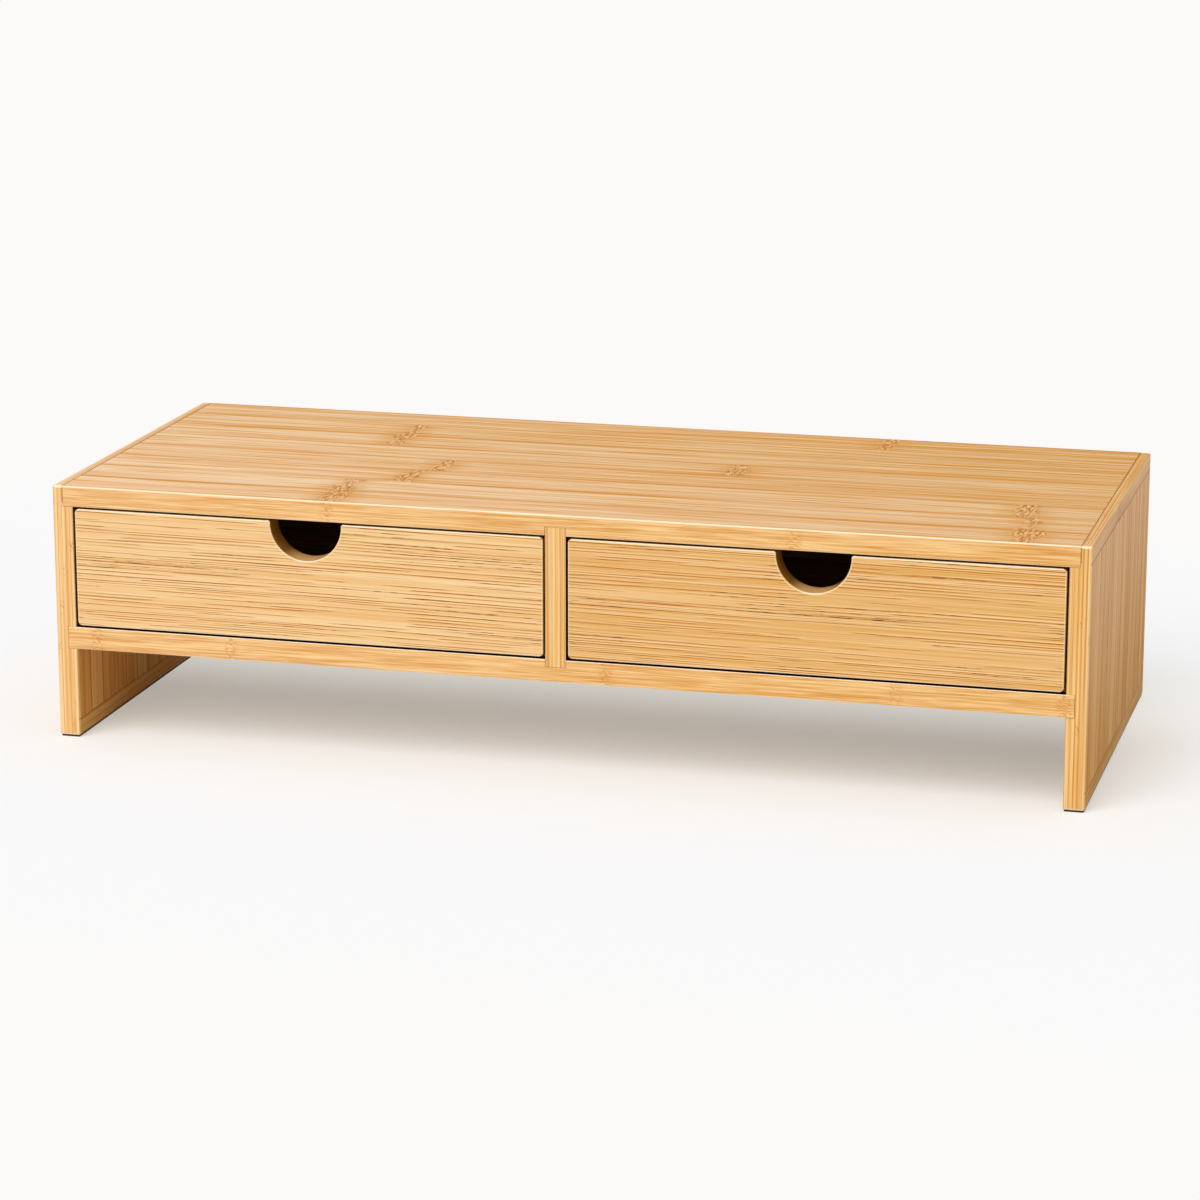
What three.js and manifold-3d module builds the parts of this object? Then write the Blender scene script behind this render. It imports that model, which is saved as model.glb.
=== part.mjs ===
// A bamboo monitor stand with two drawers side by side under its top.
// Lengths are in millimetres. X is the width, Y the depth and Z is up. The origin is on the floor
// under the middle of the stand, and the drawers pull out towards -Y.
import * as THREE from "three";
import { mergeVertices } from "three/addons/utils/BufferGeometryUtils.js";
import Module from "manifold-3d";

const wasm = await Module();
wasm.setup();

// The whole stand
const standWidth = 600;
const standDepth = 250;
const standHeight = 150;
const shelfHeight = 53.5; // from the floor to the underside of the shelf

// Boards of the carcass
const sideThickness = 12;
const topThickness = 12;
const shelfThickness = 13;
const dividerThickness = 12;
const backThickness = 5;
const backInset = 6; // from the rear edges to the back panel
const outerRound = 1; // rounding of the edges that a hand meets
const innerEase = 0.5; // lighter easing of the other edges
const sideFaceCornerRadius = 0.5; // at the corners of a side panel's flat face

// Glued joints of the carcass
const glueLine = 0.2; // the thin gap that the glue fills
const topRabbetDepth = 6;
const shelfDadoDepth = 5;
const dividerTopDadoDepth = 5;
const dividerShelfDadoDepth = 4.5;
const backGrooveDepth = 4;

// Strips that frame each side panel
const endStripHeight = 10;
const lippingThickness = 3;

// Anti-slip strips under the side panels
const footThickness = 1;
const footSideInset = 0.5;
const footEndInset = 1;

// Drawer fronts
const frontThickness = 15;
const frontGap = 1.2; // all round a front in its opening
const frontEdgeRound = 0.8;
const frontFaceCornerRadius = 1.7; // at the corners of a front's flat face
const notchRadius = 21.2;
const notchLipFaceRadius = 0.4; // where the notch meets the upper edge, on the flat face

// Drawer boxes
const wallThickness = 9;
const wallInset = 0.3; // how far the walls stand in from the ends of the front
const wallTopGap = 5.2; // between the walls' upper edges and the top board
const runningGap = 0.3; // between the walls' lower edges and the shelf
const stopGap = 0.5; // between a closed drawer and the back panel
const wallLapDepth = 9; // how far the walls reach into the front
const backWallLapDepth = 4.5; // how far the back wall reaches into the walls
const bottomThickness = 4;
const bottomRise = 6; // from the walls' lower edges to the drawer bottom
const bottomGrooveDepth = 4;

// Fasteners of the drawer boxes
const holeClearance = 0.15;
const frontScrewLength = 25;
const frontScrewRadius = 1.5;
const frontScrewHeadRadius = 3;
const frontScrewHeadHeight = 1.8;
const frontScrewHeightShares = [0.36, 0.78]; // of a wall's height
const backPinLength = 20;
const backPinRadius = 0.7;
const backPinHeightShares = [0.3, 0.82]; // of a wall's height
const bottomScrewLength = 12;
const bottomScrewRadius = 1.5;
const bottomScrewHeadRadius = 2.8;
const bottomScrewHeadHeight = 1.7;
const bottomScrewCrownRadius = 2;
const bottomScrewPlaceShares = [-0.5, 0.5]; // of the back wall's half length
const screwTipLength = 3;
const recessDepth = 1.1;
const recessWidth = 0.9;
const recessSpan = 3.2;

// Fineness of the curves, as counts of straight steps
const smallArcSteps = 3;
const cornerArcSteps = 5;
const notchArcSteps = 32;
const roundSides = 16;

const cutOverrun = 5; // how far a cut runs past the faces that it opens

// Places that several pieces share
const halfWidth = standWidth / 2;
const frontY = -standDepth / 2;
const rearY = standDepth / 2;
const topUnderside = standHeight - topThickness;
const shelfTop = shelfHeight + shelfThickness;
const backRearY = rearY - backInset;
const backFrontY = backRearY - backThickness;
const bayOuterX = halfWidth - sideThickness;
const bayInnerX = dividerThickness / 2;

const alongX = new THREE.Vector3(1, 0, 0);
const alongY = new THREE.Vector3(0, 1, 0);
const alongZ = new THREE.Vector3(0, 0, 1);

// A closed three.js geometry as a solid that can be cut and joined.
function solidOf(geometry) {
  geometry.deleteAttribute("normal");
  geometry.deleteAttribute("uv");
  const merged = mergeVertices(geometry);
  return new wasm.Manifold(
    new wasm.Mesh({
      numProp: 3,
      vertProperties: merged.attributes.position.array,
      triVerts: new Uint32Array(merged.index.array),
    }),
  );
}

// A solid back as a flat-shaded three.js geometry.
function geometryOf(solid) {
  const mesh = solid.getMesh();
  const geometry = new THREE.BufferGeometry();
  geometry.setAttribute("position", new THREE.BufferAttribute(mesh.vertProperties, 3));
  geometry.setIndex(new THREE.BufferAttribute(mesh.triVerts, 1));
  const faceted = geometry.toNonIndexed();
  faceted.computeVertexNormals();
  return faceted;
}

// A plain block between two limits on each axis, given in either order.
function block([xA, xB], [yA, yB], [zA, zB]) {
  const box = new THREE.BoxGeometry(Math.abs(xB - xA), Math.abs(yB - yA), Math.abs(zB - zA));
  box.translate((xA + xB) / 2, (yA + yB) / 2, (zA + zB) / 2);
  return solidOf(box);
}

// An outline carried from start to end along the axis that is square to across and up.
// A bevel rounds the edges at both ends without making the outline any larger.
function extruded(points, across, up, start, end, bevel = 0) {
  const geometry = new THREE.ExtrudeGeometry(new THREE.Shape(points), {
    depth: end - start - bevel - bevel,
    bevelEnabled: bevel > 0,
    bevelThickness: bevel,
    bevelSize: bevel,
    bevelOffset: -bevel,
    bevelSegments: smallArcSteps,
  });
  geometry.translate(0, 0, start + bevel);
  const axis = new THREE.Vector3().crossVectors(across, up);
  geometry.applyMatrix4(new THREE.Matrix4().makeBasis(across, up, axis));
  return solidOf(geometry);
}

// Points on an arc, both ends included.
function arc(centreX, centreY, radius, fromAngle, toAngle, steps) {
  return Array.from({ length: steps + 1 }, (_, i) => {
    const angle = fromAngle + ((toAngle - fromAngle) * i) / steps;
    return new THREE.Vector2(centreX + radius * Math.cos(angle), centreY + radius * Math.sin(angle));
  });
}

// A rectangle whose lower and upper corners are rounded, counterclockwise from the lower left.
function roundedRectangle([left, right], [low, high], lowRadius, highRadius, steps) {
  const quarter = Math.PI / 2;
  return [
    ...arc(left + lowRadius, low + lowRadius, lowRadius, 2 * quarter, 3 * quarter, steps),
    ...arc(right - lowRadius, low + lowRadius, lowRadius, 3 * quarter, 4 * quarter, steps),
    ...arc(right - highRadius, high - highRadius, highRadius, 0, quarter, steps),
    ...arc(left + highRadius, high - highRadius, highRadius, quarter, 2 * quarter, steps),
  ];
}

const pressedBamboo = new THREE.MeshStandardMaterial({ color: 0xe6bb82, roughness: 0.5, metalness: 0 });
const sideBamboo = new THREE.MeshStandardMaterial({ color: 0xd9ae7c, roughness: 0.55, metalness: 0 });
const edgeBamboo = new THREE.MeshStandardMaterial({ color: 0xedbd77, roughness: 0.5, metalness: 0 });
const streakedBamboo = new THREE.MeshStandardMaterial({ color: 0xecc086, roughness: 0.55, metalness: 0 });
const boxBamboo = new THREE.MeshStandardMaterial({ color: 0xe2b680, roughness: 0.6, metalness: 0 });
const footFoam = new THREE.MeshStandardMaterial({ color: 0x26221f, roughness: 0.9, metalness: 0 });
const zincSteel = new THREE.MeshStandardMaterial({ color: 0xb9b8b4, roughness: 0.35, metalness: 1 });

const stand = new THREE.Group();

// Adds one piece of the stand under its own name.
function addPiece(group, name, solid, material) {
  const mesh = new THREE.Mesh(geometryOf(solid), material);
  mesh.name = name;
  group.add(mesh);
}

// The top board lies flush between the side panels' outer halves. Its underside has a dado for
// the divider and a groove for the back panel.
function makeTopBoard() {
  const halfLength = halfWidth - sideThickness + topRabbetDepth - glueLine;
  const section = roundedRectangle(
    [frontY, rearY],
    [topUnderside, standHeight],
    innerEase,
    outerRound,
    smallArcSteps,
  );
  const board = extruded(section, alongY, alongZ, -halfLength, halfLength);
  const dividerDado = block(
    [-bayInnerX - glueLine, bayInnerX + glueLine],
    [frontY - cutOverrun, backFrontY],
    [topUnderside - cutOverrun, topUnderside + dividerTopDadoDepth],
  );
  return board.subtract(dividerDado).subtract(backGroove());
}

// The slot that holds the back panel's edge all round.
function backGroove() {
  return block(
    [-bayOuterX - backGrooveDepth, bayOuterX + backGrooveDepth],
    [backFrontY - glueLine, backRearY + glueLine],
    [shelfTop - backGrooveDepth, topUnderside + backGrooveDepth],
  );
}

// The shelf carries the drawers, with its ends in dados in the side panels.
function makeShelf() {
  const halfLength = bayOuterX + shelfDadoDepth - glueLine;
  const section = roundedRectangle(
    [frontY, rearY],
    [shelfHeight, shelfTop],
    innerEase,
    innerEase,
    smallArcSteps,
  );
  const board = extruded(section, alongY, alongZ, -halfLength, halfLength);
  const dividerDado = block(
    [-bayInnerX - glueLine, bayInnerX + glueLine],
    [frontY - cutOverrun, backFrontY],
    [shelfTop - dividerShelfDadoDepth, shelfTop + cutOverrun],
  );
  return board.subtract(dividerDado).subtract(backGroove());
}

// The divider stands between the drawers, from dado to dado.
function makeDivider() {
  const section = roundedRectangle(
    [-bayInnerX, bayInnerX],
    [frontY, backFrontY - glueLine],
    innerEase,
    innerEase,
    smallArcSteps,
  );
  const low = shelfTop - dividerShelfDadoDepth + glueLine;
  const high = topUnderside + dividerTopDadoDepth - glueLine;
  return extruded(section, alongX, alongY, low, high);
}

// A thin panel closes the stand behind the drawers and stops them.
function makeBackPanel() {
  const halfLength = bayOuterX + backGrooveDepth - glueLine;
  return block(
    [-halfLength, halfLength],
    [backFrontY, backRearY],
    [shelfTop - backGrooveDepth + glueLine, topUnderside + backGrooveDepth - glueLine],
  );
}

// One side panel, which is also a leg: a core of upright strips with a strip across each end and a
// lipping up its front and rear edges. It is shaped whole and then parted at its glue lines.
// side is -1 for the left panel and 1 for the right one.
function addSidePanel(side, name) {
  const outerX = side * halfWidth;
  const innerX = side * bayOuterX;
  const beyondInnerX = innerX - side * cutOverrun;
  const outline = roundedRectangle(
    [frontY, rearY],
    [footThickness, standHeight],
    sideFaceCornerRadius + outerRound,
    sideFaceCornerRadius + outerRound,
    smallArcSteps,
  );
  const low = Math.min(outerX, innerX);
  const high = Math.max(outerX, innerX);
  const blank = extruded(outline, alongY, alongZ, low, high, outerRound);
  const throughDepth = [frontY - cutOverrun, rearY + cutOverrun];
  const topRabbet = block(
    [innerX + side * topRabbetDepth, beyondInnerX],
    throughDepth,
    [topUnderside - glueLine, standHeight + cutOverrun],
  );
  const shelfDado = block(
    [innerX + side * shelfDadoDepth, beyondInnerX],
    throughDepth,
    [shelfHeight - glueLine, shelfTop + glueLine],
  );
  const panel = blank.subtract(topRabbet).subtract(shelfDado).subtract(backGroove());

  const acrossPanel = [outerX + side * cutOverrun, beyondInnerX];
  const allHeight = [-cutOverrun, standHeight + cutOverrun];
  const lippingBackY = frontY + lippingThickness;
  const lippingFrontY = rearY - lippingThickness;
  const betweenLippings = [lippingBackY + glueLine, lippingFrontY - glueLine];
  const lowStripTop = footThickness + endStripHeight;
  const highStripFoot = standHeight - endStripHeight;
  const part = (depths, heights) => panel.intersect(block(acrossPanel, depths, heights));
  const frontLipping = part([frontY - cutOverrun, lippingBackY], allHeight);
  const rearLipping = part([lippingFrontY, rearY + cutOverrun], allHeight);
  const core = part(betweenLippings, [lowStripTop + glueLine, highStripFoot - glueLine]);
  const lowStrip = part(betweenLippings, [-cutOverrun, lowStripTop]);
  const highStrip = part(betweenLippings, [highStripFoot, standHeight + cutOverrun]);
  addPiece(stand, `${name}_side_core`, core, sideBamboo);
  addPiece(stand, `${name}_side_top_strip`, highStrip, edgeBamboo);
  addPiece(stand, `${name}_side_bottom_strip`, lowStrip, edgeBamboo);
  addPiece(stand, `${name}_side_front_lipping`, frontLipping, edgeBamboo);
  addPiece(stand, `${name}_side_rear_lipping`, rearLipping, edgeBamboo);

  const foot = block(
    [outerX - side * footSideInset, innerX + side * footSideInset],
    [frontY + footEndInset, rearY - footEndInset],
    [0, footThickness],
  );
  addPiece(stand, `${name}_foot_strip`, foot, footFoam);
}

// A round bar along +Z, by its half section: pairs of radius and height.
function turned(profile) {
  const points = profile.map(([radius, height]) => new THREE.Vector2(radius, height));
  return solidOf(new THREE.LatheGeometry(points, roundSides).rotateX(Math.PI / 2));
}

// The part of a fastener's hole that runs out past the face it was driven from.
function holeMouth(radius) {
  return turned([[0, -cutOverrun], [radius, -cutOverrun], [radius, 0], [0, 0]]);
}

// The cross in a screw's head, cut down from the head's face.
function crossRecess(faceHeight) {
  const span = [-recessSpan / 2, recessSpan / 2];
  const width = [-recessWidth / 2, recessWidth / 2];
  const depth = [faceHeight - cutOverrun, faceHeight + recessDepth];
  return block(span, width, depth).add(block(width, span, depth));
}

// Each fastener points along +Z from height 0, the surface that it is driven from. With a
// clearance it is the hole that it sits in.

// The countersunk screws that hold a drawer's walls to its front.
function frontScrew(clearance = 0) {
  const head = frontScrewHeadRadius + clearance;
  const shank = frontScrewRadius + clearance;
  const tip = frontScrewLength + clearance;
  const bar = turned([
    [0, 0],
    [head, 0],
    [shank, frontScrewHeadHeight + clearance],
    [shank, tip - screwTipLength],
    [0, tip],
  ]);
  return clearance > 0 ? bar.add(holeMouth(head)) : bar.subtract(crossRecess(0));
}

// The plain pins, driven flush, that hold the walls to the back wall.
function backPin(clearance = 0) {
  const radius = backPinRadius + clearance;
  const tip = backPinLength + clearance;
  const bar = turned([[0, 0], [radius, 0], [radius, tip - radius], [0, tip]]);
  return clearance > 0 ? bar.add(holeMouth(radius)) : bar;
}

// The domed screws that hold the drawer bottom up to the back wall.
function bottomScrew(clearance = 0) {
  const shank = bottomScrewRadius + clearance;
  const tip = bottomScrewLength + clearance;
  const crown = -bottomScrewHeadHeight;
  const head = [
    [0, crown],
    [bottomScrewCrownRadius, crown],
    [bottomScrewHeadRadius, crown / 2],
    [bottomScrewHeadRadius, 0],
  ];
  const mouth = [
    [0, -cutOverrun],
    [shank, -cutOverrun],
  ];
  const shape = [...(clearance > 0 ? mouth : head), [shank, 0], [shank, tip - screwTipLength], [0, tip]];
  return clearance > 0 ? turned(shape) : turned(shape).subtract(crossRecess(crown));
}

// Turns a fastener to point along a direction and moves its height 0 to a place.
function driven(solid, direction, place) {
  const turn = new THREE.Quaternion().setFromUnitVectors(alongZ, direction);
  const matrix = new THREE.Matrix4().compose(place, turn, new THREE.Vector3(1, 1, 1));
  return solid.transform(matrix.elements);
}

// The places that a drawer's pieces share, with X from the middle of its bay.
function drawerPlaces(bayWidth) {
  const frontHalf = bayWidth / 2 - frontGap;
  const frontBackY = frontY + frontThickness;
  const wallOuter = frontHalf - wallInset;
  const boxRearY = backFrontY - stopGap;
  const bottomLow = shelfTop + runningGap + bottomRise;
  return {
    frontHalf,
    frontLow: shelfTop + frontGap,
    frontHigh: topUnderside - frontGap,
    frontBackY,
    wallOuter,
    wallInner: wallOuter - wallThickness,
    wallLow: shelfTop + runningGap,
    wallHigh: topUnderside - wallTopGap,
    wallFrontY: frontBackY - wallLapDepth + glueLine,
    boxRearY,
    backWallFrontY: boxRearY - wallThickness,
    bottomLow,
    bottomHigh: bottomLow + bottomThickness,
  };
}

// Every fastener of a drawer, with its name, its shape, where it starts and which way it points.
function drawerFasteners(at) {
  const lapMiddleY = (at.wallFrontY + at.frontBackY) / 2;
  const backWallMiddleY = (at.backWallFrontY + at.boxRearY) / 2;
  const wallHeight = at.wallHigh - at.wallLow;
  const fasteners = [];
  for (const side of [-1, 1]) {
    const direction = alongX.clone().multiplyScalar(-side);
    for (const share of frontScrewHeightShares) {
      const place = new THREE.Vector3(side * at.wallOuter, lapMiddleY, at.wallLow + share * wallHeight);
      fasteners.push({ kind: "front_screw", shape: frontScrew, place, direction });
    }
    for (const share of backPinHeightShares) {
      const place = new THREE.Vector3(side * at.wallOuter, backWallMiddleY, at.wallLow + share * wallHeight);
      fasteners.push({ kind: "back_pin", shape: backPin, place, direction });
    }
  }
  for (const share of bottomScrewPlaceShares) {
    const place = new THREE.Vector3(share * at.wallInner, backWallMiddleY, at.bottomLow);
    fasteners.push({ kind: "bottom_screw", shape: bottomScrew, place, direction: alongZ });
  }
  return fasteners;
}

// The slot round the drawer bottom, in the front and both walls, open at the rear.
function bottomSlot(at) {
  const half = at.wallInner + bottomGrooveDepth;
  return block(
    [-half, half],
    [at.frontBackY - bottomGrooveDepth, at.boxRearY + cutOverrun],
    [at.bottomLow - glueLine, at.bottomHigh + glueLine],
  );
}

// The front's outline, with a half-round finger notch in the middle of its upper edge.
function frontOutline(at) {
  const quarter = Math.PI / 2;
  const cornerRadius = frontFaceCornerRadius + frontEdgeRound;
  const lipRadius = notchLipFaceRadius + frontEdgeRound;
  const notchCentre = at.frontHigh - lipRadius;
  const lipCentre = notchRadius + lipRadius;
  const rectangle = roundedRectangle(
    [-at.frontHalf, at.frontHalf],
    [at.frontLow, at.frontHigh],
    cornerRadius,
    cornerRadius,
    cornerArcSteps,
  );
  const pointsBeforeNotch = 3 * (cornerArcSteps + 1);
  return [
    ...rectangle.slice(0, pointsBeforeNotch),
    ...arc(lipCentre, notchCentre, lipRadius, quarter, 2 * quarter, smallArcSteps),
    ...arc(0, notchCentre, notchRadius, 0, -2 * quarter, notchArcSteps).slice(1, -1),
    ...arc(-lipCentre, notchCentre, lipRadius, 0, quarter, smallArcSteps),
    ...rectangle.slice(pointsBeforeNotch),
  ];
}

// The thick front, cut away behind its ends to lap over the walls. Its outline is drawn with X
// across and Z up, so it is carried along -Y.
function makeFront(at) {
  const front = extruded(frontOutline(at), alongX, alongZ, -at.frontBackY, -frontY, frontEdgeRound);
  const laps = [-1, 1].map((side) =>
    block(
      [side * (at.wallInner - glueLine), side * (at.frontHalf + cutOverrun)],
      [at.frontBackY - wallLapDepth, at.frontBackY + cutOverrun],
      [at.frontLow - cutOverrun, at.frontHigh + cutOverrun],
    ),
  );
  return front.subtract(laps[0]).subtract(laps[1]).subtract(bottomSlot(at));
}

// One side wall, with a lap at its rear end for the back wall and a groove for the bottom.
function makeWall(at, side) {
  const section = roundedRectangle(
    [Math.min(side * at.wallInner, side * at.wallOuter), Math.max(side * at.wallInner, side * at.wallOuter)],
    [at.wallLow, at.wallHigh],
    innerEase,
    innerEase,
    smallArcSteps,
  );
  const backWallLap = block(
    [0, side * (at.wallInner + backWallLapDepth)],
    [at.backWallFrontY - glueLine, at.boxRearY + cutOverrun],
    [at.bottomHigh, at.wallHigh + cutOverrun],
  );
  const board = extruded(section, alongX, alongZ, -at.boxRearY, -at.wallFrontY);
  return board.subtract(backWallLap).subtract(bottomSlot(at));
}

// The back wall stands on the bottom, between the laps of the side walls.
function makeBackWall(at) {
  const half = at.wallInner + backWallLapDepth - glueLine;
  const section = roundedRectangle(
    [at.backWallFrontY, at.boxRearY],
    [at.bottomHigh + glueLine, at.wallHigh],
    innerEase,
    innerEase,
    smallArcSteps,
  );
  return extruded(section, alongY, alongZ, -half, half);
}

// The thin bottom slides in from the rear.
function makeBottom(at) {
  const half = at.wallInner + bottomGrooveDepth - glueLine;
  return block(
    [-half, half],
    [at.frontBackY - bottomGrooveDepth + glueLine, at.boxRearY],
    [at.bottomLow, at.bottomHigh],
  );
}

// One drawer, in the bay between two upright faces.
function addDrawer(name, bayLeft, bayRight) {
  const drawer = new THREE.Group();
  drawer.position.x = (bayLeft + bayRight) / 2;
  const at = drawerPlaces(bayRight - bayLeft);
  const fasteners = drawerFasteners(at);
  const holes = fasteners
    .map(({ shape, direction, place }) => driven(shape(holeClearance), direction, place))
    .reduce((all, hole) => all.add(hole));
  addPiece(drawer, `${name}_front`, makeFront(at).subtract(holes), streakedBamboo);
  addPiece(drawer, `${name}_left_wall`, makeWall(at, -1).subtract(holes), boxBamboo);
  addPiece(drawer, `${name}_right_wall`, makeWall(at, 1).subtract(holes), boxBamboo);
  addPiece(drawer, `${name}_back_wall`, makeBackWall(at).subtract(holes), boxBamboo);
  addPiece(drawer, `${name}_bottom`, makeBottom(at).subtract(holes), boxBamboo);
  const counts = {};
  for (const { kind, shape, direction, place } of fasteners) {
    counts[kind] = (counts[kind] ?? 0) + 1;
    addPiece(drawer, `${name}_${kind}_${counts[kind]}`, driven(shape(), direction, place), zincSteel);
  }
  stand.add(drawer);
}

addPiece(stand, "top_board", makeTopBoard(), pressedBamboo);
addPiece(stand, "shelf_board", makeShelf(), pressedBamboo);
addPiece(stand, "centre_divider", makeDivider(), edgeBamboo);
addPiece(stand, "back_panel", makeBackPanel(), boxBamboo);
addSidePanel(-1, "left");
addSidePanel(1, "right");
addDrawer("left_drawer", -bayOuterX, -bayInnerX);
addDrawer("right_drawer", bayInnerX, bayOuterX);

export default stand;
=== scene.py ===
"""A bamboo monitor stand with two drawers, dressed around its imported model."""

import math

import bmesh
import bpy
import numpy as np
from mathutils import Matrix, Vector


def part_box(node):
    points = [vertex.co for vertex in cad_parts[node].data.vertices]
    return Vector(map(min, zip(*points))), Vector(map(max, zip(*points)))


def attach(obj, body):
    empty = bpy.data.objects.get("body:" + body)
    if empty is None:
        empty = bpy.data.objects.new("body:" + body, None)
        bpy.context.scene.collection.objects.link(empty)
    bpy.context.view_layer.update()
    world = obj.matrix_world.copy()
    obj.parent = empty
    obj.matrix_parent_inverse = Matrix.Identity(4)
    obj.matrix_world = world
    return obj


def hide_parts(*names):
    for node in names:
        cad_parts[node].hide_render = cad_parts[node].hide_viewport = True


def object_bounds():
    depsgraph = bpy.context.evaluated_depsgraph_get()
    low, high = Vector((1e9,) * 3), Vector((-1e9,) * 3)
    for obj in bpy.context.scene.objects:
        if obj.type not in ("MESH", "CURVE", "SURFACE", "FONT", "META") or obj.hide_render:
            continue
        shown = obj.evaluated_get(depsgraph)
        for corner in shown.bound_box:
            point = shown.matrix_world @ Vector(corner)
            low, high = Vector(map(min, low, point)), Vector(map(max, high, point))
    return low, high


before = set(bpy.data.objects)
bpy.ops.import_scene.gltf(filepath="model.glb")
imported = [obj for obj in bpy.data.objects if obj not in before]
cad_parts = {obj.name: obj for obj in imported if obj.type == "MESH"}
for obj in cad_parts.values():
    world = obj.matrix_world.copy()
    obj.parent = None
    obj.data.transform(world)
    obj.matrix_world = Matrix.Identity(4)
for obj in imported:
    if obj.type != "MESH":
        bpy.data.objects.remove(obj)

cad_box = [list(corner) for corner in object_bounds()]
scene = bpy.context.scene
scene.view_settings.view_transform = "Standard"

# Camera
# A long lens stands in front of the stand, a little to its right and above it, and looks down
# to the left.
camera_place = (0.5779, -2.2220, 0.6520)
camera_down = 0.248
camera_left = 0.2574
lens_in_pixels = 4008.43
picture_in_pixels = 1200
sensor_millimetres = 36
farthest_view = 60

camera = bpy.data.objects.new("camera", bpy.data.cameras.new("camera"))
scene.collection.objects.link(camera)
scene.camera = camera
camera.location = camera_place
camera.rotation_euler = (math.pi / 2 - camera_down, 0, camera_left)
camera.data.sensor_width = sensor_millimetres
camera.data.lens = lens_in_pixels / picture_in_pixels * sensor_millimetres
camera.data.clip_end = farthest_view


# Floor and light
# A pale studio sweep, lit all round by a white room and from the front left by one wide lamp.
# The floor is so wide that it fills the picture, and it fades into the room's white.
def linear(red, green, blue):
    """A colour as it is seen, in steps of 255, as the linear values that a socket takes."""
    seen = np.array([red, green, blue]) / 255
    light = np.where(seen <= 0.04045, seen / 12.92, ((seen + 0.055) / 1.055) ** 2.4)
    return (*light.tolist(), 1.0)


class Thread:
    """One output in a tree of nodes. Sums with threads and numbers add Math nodes to the tree."""

    def __init__(self, tree, socket=None):
        self.tree = tree
        self.socket = socket

    def node(self, kind, settings=None, sockets=None, output=0):
        """Adds a node: its settings come first, then its sockets' values or threads."""
        made = self.tree.nodes.new(kind)
        for setting, value in (settings or {}).items():
            if setting == "stops":
                set_stops(made.color_ramp, value)
            else:
                setattr(made, setting, value)
        for key, value in (sockets or {}).items():
            if isinstance(value, Thread):
                self.tree.links.new(value.socket, made.inputs[key])
            else:
                made.inputs[key].default_value = value
        return Thread(self.tree, made.outputs[output])

    def math(self, operation, *others):
        """A Math node whose first value is this output."""
        return self.node("ShaderNodeMath", {"operation": operation}, dict(enumerate((self, *others))))

    def __add__(self, other):
        return self.math("ADD", other)

    def __sub__(self, other):
        return self.math("SUBTRACT", other)

    def __rsub__(self, other):
        return self.node("ShaderNodeMath", {"operation": "SUBTRACT"}, {0: other, 1: self})

    def __mul__(self, other):
        return self.math("MULTIPLY", other)

    def __truediv__(self, other):
        return self.math("DIVIDE", other)

    def __abs__(self):
        return self.math("ABSOLUTE")

    __radd__ = __add__
    __rmul__ = __mul__

    def rise(self, low, high):
        """A smooth step from 0 at low to 1 at high, or down again where low is above high."""
        sockets = {0: self, 1: low, 2: high}
        return self.node("ShaderNodeMapRange", {"interpolation_type": "SMOOTHSTEP"}, sockets)

    def tint(self, start, end):
        """A colour between two, at this share of the way."""
        return self.node("ShaderNodeMix", {"data_type": "RGBA"}, {0: self, 6: start, 7: end}, 2)


def set_stops(ramp, stops):
    """Gives a ramp its stops, each a place and a colour."""
    while len(ramp.elements) < len(stops):
        ramp.elements.new(1.0)
    for element, (place, colour) in zip(ramp.elements, stops):
        element.position = place
        element.color = colour


def new_material(name):
    """An empty material, its tree as a thread, and its output node."""
    material = bpy.data.materials.new(name)
    material.use_nodes = True
    material.node_tree.nodes.clear()
    output = material.node_tree.nodes.new("ShaderNodeOutputMaterial")
    return material, Thread(material.node_tree), output


def seen_plainly(tree):
    """1 on rays from the camera, off gloss and through glass, which meet a plain white room."""
    camera_ray = tree.node("ShaderNodeLightPath", {}, {}, "Is Camera Ray")
    glossy_ray = tree.node("ShaderNodeLightPath", {}, {}, "Is Glossy Ray")
    glass_ray = tree.node("ShaderNodeLightPath", {}, {}, "Is Transmission Ray")
    return camera_ray.math("MAXIMUM", glossy_ray.math("MAXIMUM", glass_ray))


room_white = linear(250, 249, 247)
room_light = 0.55
lamp_strength = 2.20
lamp_width = math.radians(50)
lamp_height = math.radians(49)
lamp_left = math.radians(18)
floor_colour = linear(247, 246, 246)
floor_bounce_colour = linear(224, 220, 216)
floor_own_colour = linear(251, 249, 247)
floor_shade_colour = linear(247, 246, 238)
floor_near_colour = linear(247, 248, 250)
floor_own_light = 0.38
floor_open_light = 0.30
floor_reach = 14.0
floor_sides = 64

# Distances in metres outwards from the stand's sides: where the floor's glow starts and how far
# its stops spread, and where that glow, painted light, grows stronger, aside and behind.
stand_half_width, stand_half_depth = cad_box[1][:2]
glow_start = 0.1
glow_span = 0.7
glow_stops = [(0.10, floor_shade_colour), (0.30, floor_near_colour), (1.0, floor_own_colour)]
open_aside = (-0.03, 0.15)
open_behind = (-0.02, 0.10)

world = bpy.data.worlds.new("room")
scene.world = world
world.use_nodes = True
world.node_tree.nodes.clear()
room = Thread(world.node_tree)
strength = room_light + (1 - room_light) * seen_plainly(room)
backdrop = room.node("ShaderNodeBackground", {}, {"Color": room_white, "Strength": strength})
world_output = world.node_tree.nodes.new("ShaderNodeOutputWorld")
world.node_tree.links.new(backdrop.socket, world_output.inputs["Surface"])

lamp = bpy.data.objects.new("lamp", bpy.data.lights.new("lamp", "SUN"))
scene.collection.objects.link(lamp)
lamp.data.energy = lamp_strength
lamp.data.angle = lamp_width
lamp.rotation_euler = (math.pi / 2 - lamp_height, 0, -lamp_left)

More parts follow.
